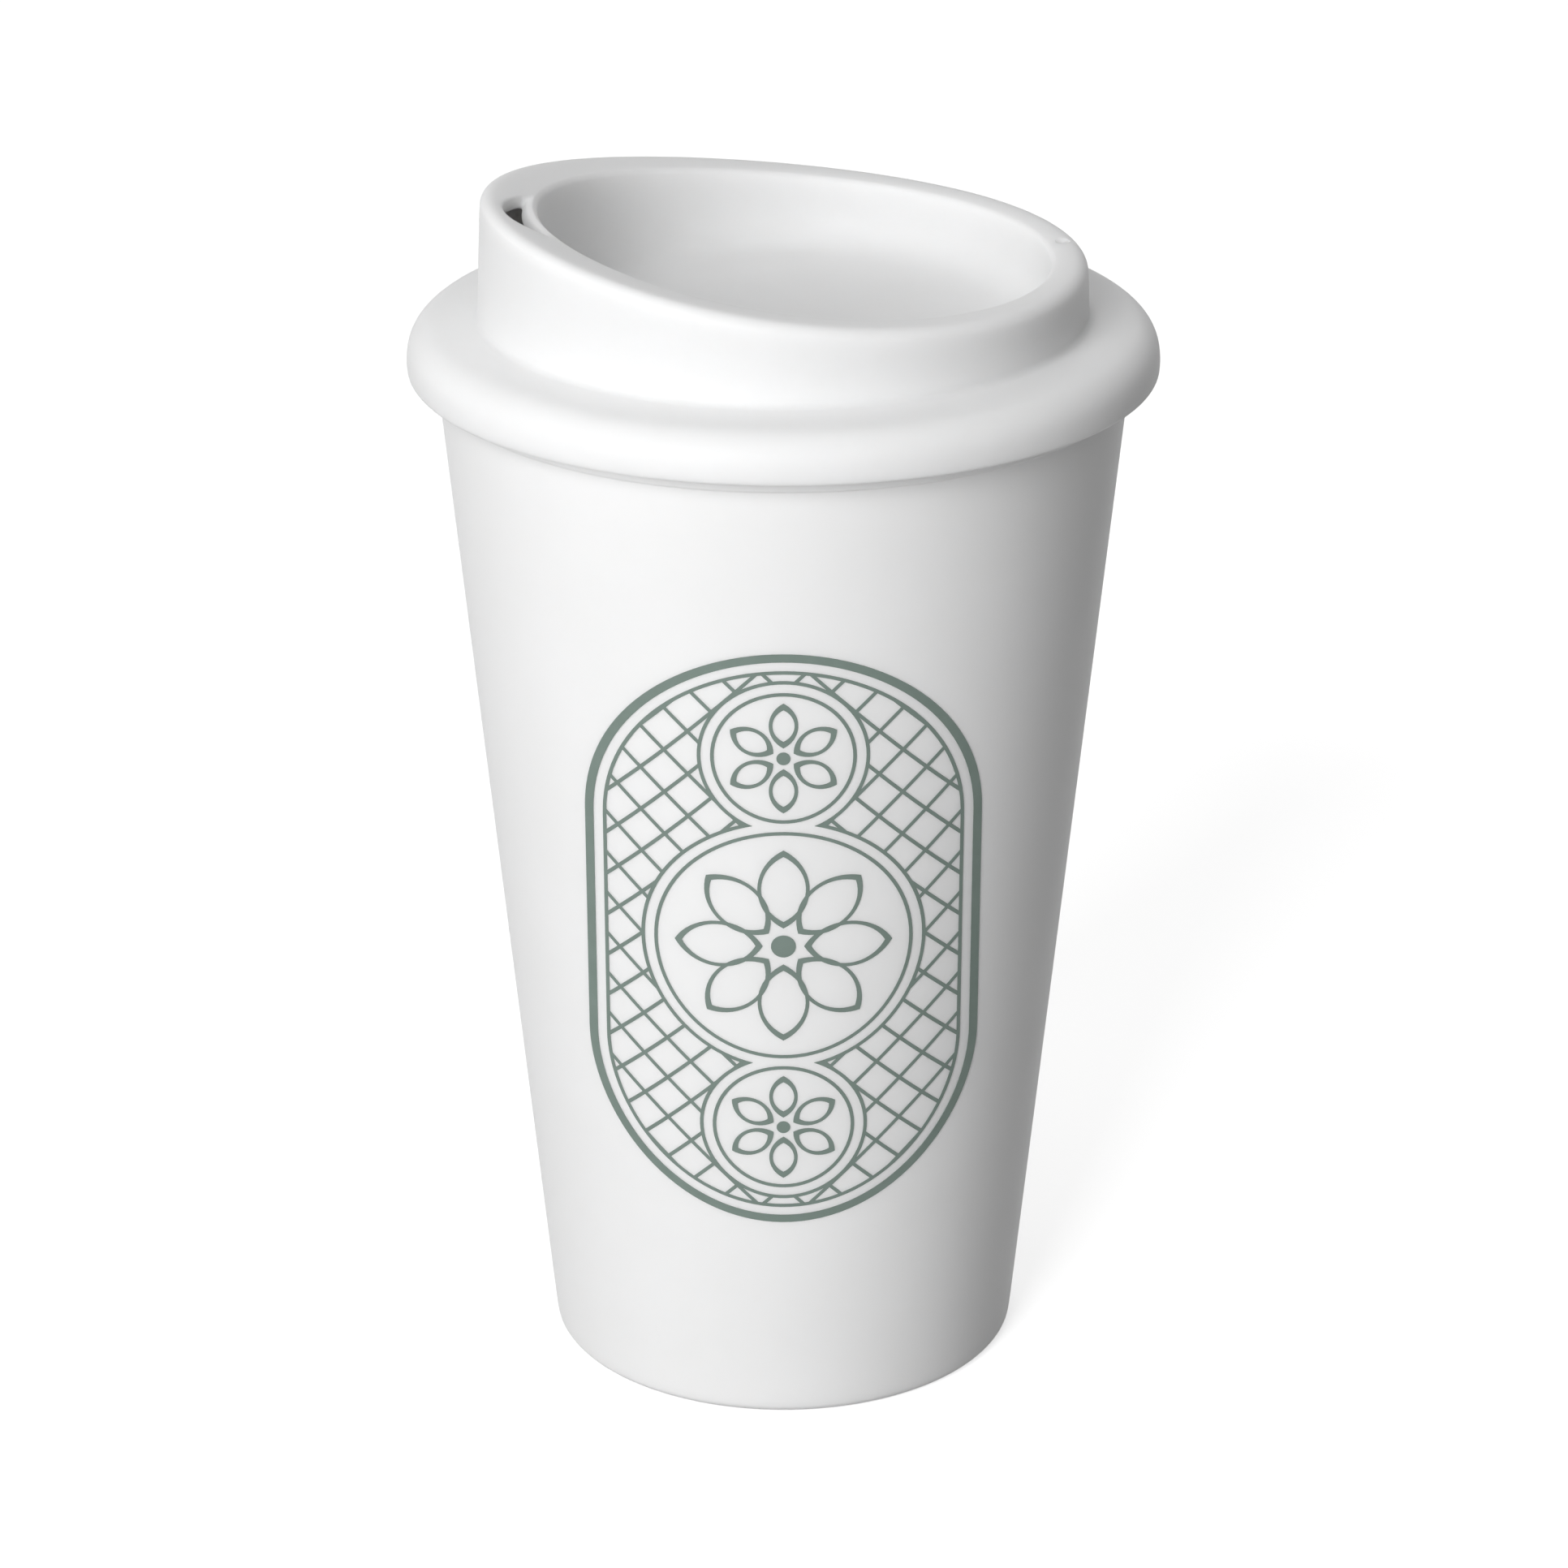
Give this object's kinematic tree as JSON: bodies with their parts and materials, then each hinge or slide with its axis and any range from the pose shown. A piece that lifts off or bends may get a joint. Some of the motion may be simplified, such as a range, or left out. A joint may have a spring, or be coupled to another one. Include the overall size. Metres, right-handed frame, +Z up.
{
  "type": "reusable plastic coffee cup with a screw lid",
  "caption": "Tapered moulded to-go coffee cup with a printed front and a screw lid that has a slanted collar, a drink slot and a vent.",
  "frame": {"origin": "centre of the foot, on the surface that the cup stands on", "axes": "+Z up along the cup's axis, -Y towards the printed front, -X towards the drink slot's side"},
  "size_m": [0.096, 0.096, 0.1583],
  "materials": {
    "cup_plastic": "satin white moulded polypropylene",
    "lid_plastic": "satin white moulded polypropylene",
    "seal_rubber": "translucent matt silicone",
    "print_ink": "matt grey-green screen ink"
  },
  "bodies": {
    "cup": {"cup_body": "cup_plastic", "printed_emblem": "print_ink"},
    "seal": {"sealing_ring": "seal_rubber"},
    "lid": {"lid": "lid_plastic"}
  },
  "joints": [
    {"name": "lid_lift", "type": "slide", "parent": "cup", "child": "seal", "axis": [0, 0, 1], "range_m": [0, 0.012]},
    {"name": "lid_turn", "type": "hinge", "parent": "seal", "child": "lid", "pos_m": [0, 0, 0.135], "axis": [0, 0, 1], "range_deg": [0, 360]}
  ],
  "couplings": [
    {"joint": "lid_lift", "follows": "lid_turn", "m_per_rad": 0.0019099}
  ]
}
